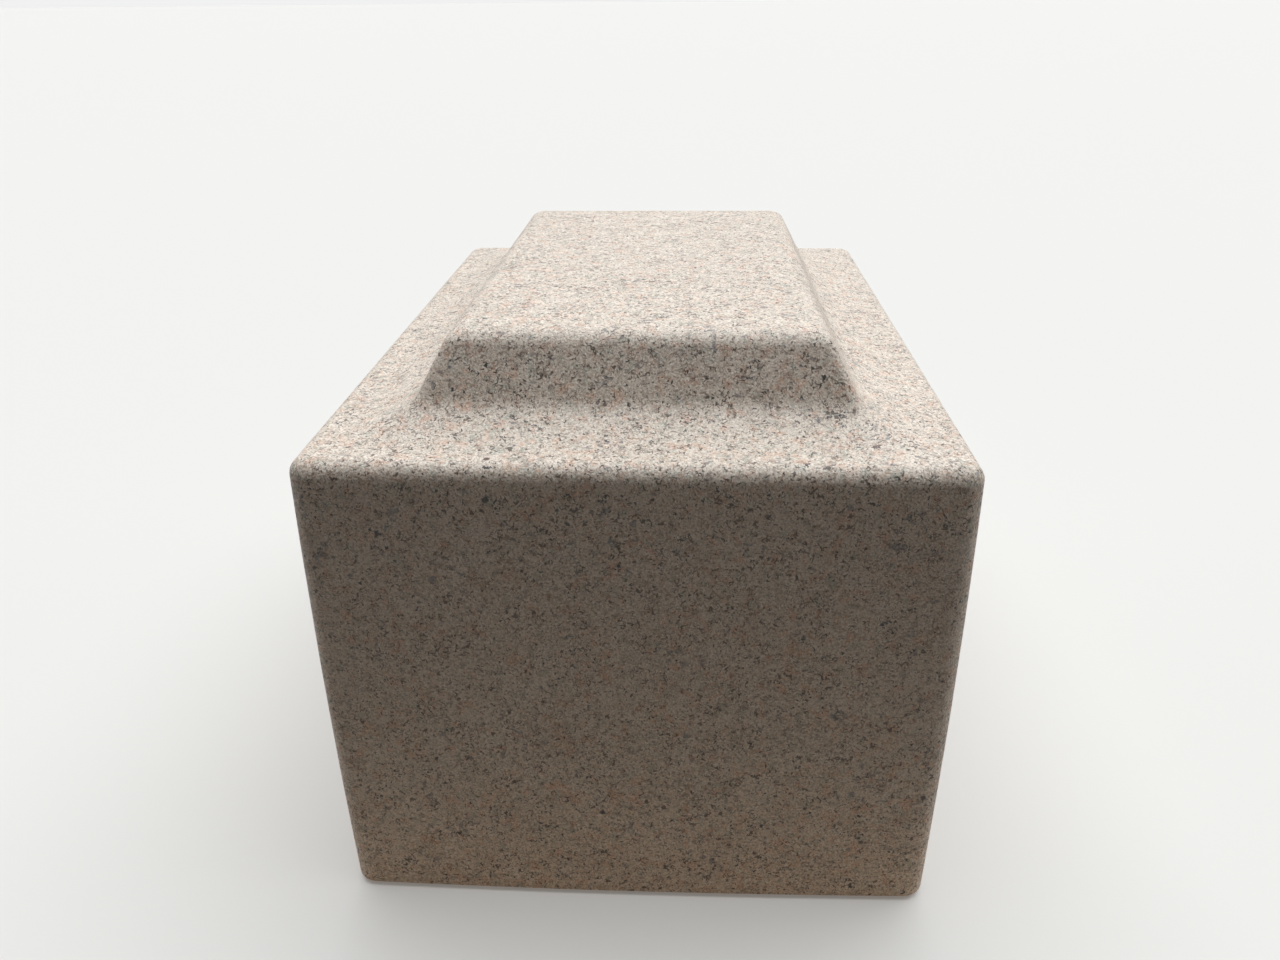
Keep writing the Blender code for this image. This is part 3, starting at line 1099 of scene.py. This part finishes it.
@dataclass
class FootPads:
    """Four round rubber pads, stuck under the base plate near its corners."""

    finish: Finish
    edge: float = 0.4 * MM
    steps: int = 64

    def build(self) -> None:
        """Turns a pad and puts one at each CAD pad."""
        dress = self.finish.material()
        for place in ("front_left", "front_right", "back_left", "back_right"):
            low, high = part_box("foot_pad_" + place)
            centre = (low + high) / 2
            radius = (high.x - low.x) / 2
            profile = [(0.0, high.z), (radius, high.z), (radius, low.z), (0.0, low.z)]
            shape = turn_profile(profile, self.steps)
            soften_edges(shape, self.edge)
            bmesh.ops.translate(shape, verts=shape.verts, vec=(centre.x, centre.y, 0.0))
            publish(shape, "rubber_pad_" + place, "foot_pad_" + place, Body.URN, dress)


# ---------------------------------------------------------------- the studio


@dataclass
class Studio:
    """A white table in a light tent with an open front, and the camera that looks in."""

    floor_colour: str = "#C2BFBB"
    floor_radius: float = 60.0
    # Light comes up through the table too, and thins its shadows.
    glow: float = 0.30
    # The dark room in front of the tent takes light from the table: what the table throws
    # back is less than what it shows, and fades out with distance from the urn.
    bounce_colour: str = "#A58F75"
    bounce_near: float = 0.12
    bounce_far: float = 0.26
    bounce_least: float = 0.08
    key_energy: float = 4.1
    key_colour: str = "#F5FBFF"
    key_spread: float = math.radians(80)
    key_lean: float = math.radians(15)
    # The light stands a little to the right of the urn as well as behind it.
    key_side: float = math.radians(7)
    # The tent's walls fade out towards its opening at the front, and below its roof.
    wall: float = 1.35
    fill: float = 0.03
    opening: tuple[float, float] = (-0.2, 0.2)
    roof: tuple[float, float] = (0.35, 0.65)
    backdrop: float = 0.88
    lens: float = 29.11
    eye: tuple[float, float, float] = (0.0126, -0.3325, 0.2310)
    aim: tuple[float, float, float] = (math.radians(64.97), math.radians(0.49), math.radians(2.56))

    def build_floor(self) -> None:
        """Lays the table."""
        shape = bmesh.new()
        bmesh.ops.create_circle(shape, cap_ends=True, radius=self.floor_radius, segments=96)
        mesh = bpy.data.meshes.new("white_table")
        shape.to_mesh(mesh)
        shape.free()
        dress = bpy.data.materials.new("matt_white_acrylic")
        dress.use_nodes = True
        tree = dress.node_tree
        shader = tree.nodes["Principled BSDF"]
        shader.inputs["Roughness"].default_value = 0.9
        shader.inputs["Specular IOR Level"].default_value = 0.1
        shader.inputs["Emission Strength"].default_value = self.glow
        place = add_node(tree, "TexCoord").outputs["Object"]
        reach = add_node(tree, "VectorMath", {0: place}, operation="LENGTH").outputs["Value"]
        near = add_node(
            tree,
            "MapRange",
            {"Value": reach, 1: self.bounce_near, 2: self.bounce_far, 3: 1.0, 4: self.bounce_least},
            interpolation_type="SMOOTHSTEP",
        ).outputs[0]
        thrown = add_node(
            tree,
            "Mix",
            {0: near, 6: (0.0, 0.0, 0.0, 1.0), 7: linear(self.bounce_colour)},
            data_type="RGBA",
        )
        scattered = add_node(tree, "LightPath").outputs["Is Diffuse Ray"]
        shown = add_node(
            tree,
            "Mix",
            {0: scattered, 6: linear(self.floor_colour), 7: thrown.outputs[2]},
            data_type="RGBA",
        )
        tree.links.new(shown.outputs[2], shader.inputs["Base Color"])
        tree.links.new(shown.outputs[2], shader.inputs["Emission Color"])
        mesh.materials.append(dress)
        floor = bpy.data.objects.new("white_table", mesh)
        bpy.context.scene.collection.objects.link(floor)

    def build_world(self) -> None:
        """Makes the tent: bright side and back walls, and a dark opening at the front."""
        world = bpy.data.worlds.new("light_tent")
        world.use_nodes = True
        tree = world.node_tree
        backdrop = tree.nodes["Background"]
        backdrop.inputs["Color"].default_value = (1.0, 1.0, 1.0, 1.0)
        way = add_node(tree, "SeparateXYZ", {0: add_node(tree, "TexCoord").outputs["Generated"]})
        behind = add_node(
            tree,
            "MapRange",
            {"Value": way.outputs[1], 1: self.opening[0], 2: self.opening[1], 3: 0.0, 4: 1.0},
            interpolation_type="SMOOTHSTEP",
        )
        low = add_node(
            tree,
            "MapRange",
            {"Value": way.outputs[2], 1: self.roof[0], 2: self.roof[1], 3: 1.0, 4: 0.0},
            interpolation_type="SMOOTHSTEP",
        )
        walls = add_node(
            tree, "Math", {0: behind.outputs[0], 1: low.outputs[0]}, operation="MULTIPLY"
        )
        lit = add_node(
            tree,
            "MapRange",
            {"Value": walls.outputs[0], 1: 0.0, 2: 1.0, 3: self.fill, 4: self.wall},
        )
        seen = add_node(tree, "LightPath").outputs["Is Camera Ray"]
        strength = add_node(
            tree,
            "MapRange",
            {"Value": seen, 1: 0.0, 2: 1.0, 3: lit.outputs[0], 4: self.backdrop},
        )
        tree.links.new(strength.outputs[0], backdrop.inputs["Strength"])
        bpy.context.scene.world = world

    def build_key(self) -> None:
        """Hangs the key light: broad and soft, overhead and a little behind the urn."""
        lamp = bpy.data.lights.new("key", "SUN")
        lamp.energy = self.key_energy
        lamp.color = linear(self.key_colour)[:3]
        lamp.angle = self.key_spread
        key = bpy.data.objects.new("key", lamp)
        key.rotation_euler = Euler((-self.key_lean, self.key_side, 0.0))
        key.location = (0.0, 0.5, 1.0)
        bpy.context.scene.collection.objects.link(key)

    def build_camera(self) -> None:
        """Sets the camera at the height and distance of someone leaning over the urn."""
        lens = bpy.data.cameras.new("camera")
        lens.lens = self.lens
        lens.clip_start = 0.01
        camera = bpy.data.objects.new("camera", lens)
        camera.location = self.eye
        camera.rotation_euler = Euler(self.aim)
        bpy.context.scene.collection.objects.link(camera)
        bpy.context.scene.camera = camera

    def build(self) -> None:
        """Builds the floor, the lights and the camera."""
        self.build_floor()
        self.build_world()
        self.build_key()
        self.build_camera()
        bpy.context.scene.view_settings.view_transform = "Standard"


def main() -> None:
    """Builds the studio and the urn, piece by piece."""
    logging.basicConfig(level=logging.INFO, format="%(name)s: %(message)s")
    Studio().build()
    granite = GraniteResin("granite_resin_as_cast", "#D6C7B8", roughness=0.55)
    Casting(granite).build()
    sanded = GraniteResin(
        "granite_resin_sanded", "#B5A697", roughness=0.72, relief_layers=((0.5, 0.05),)
    )
    bead = SiliconeBead("silicone_sealant_tooled", "#B9AFA1", roughness=0.42, ior=1.41)
    BaseClosure(sanded, bead).build()
    collar = MouldedPolymer("polypropylene_collar_moulded", "#1D1D1E", roughness=0.45, ior=1.49)
    plug = MouldedPolymer(
        "polypropylene_plug_moulded", "#232324", roughness=0.42, ior=1.49, grain=0.5
    )
    gasket = Rubber("epdm_gasket_die_cut", "#19191A", roughness=0.62, ior=1.52)
    ScrewClosure(collar, plug, gasket).build()
    FootPads(Rubber("foot_rubber_napped", "#2E2A27", roughness=0.78, ior=1.52)).build()


if __name__ == "__main__":
    main()
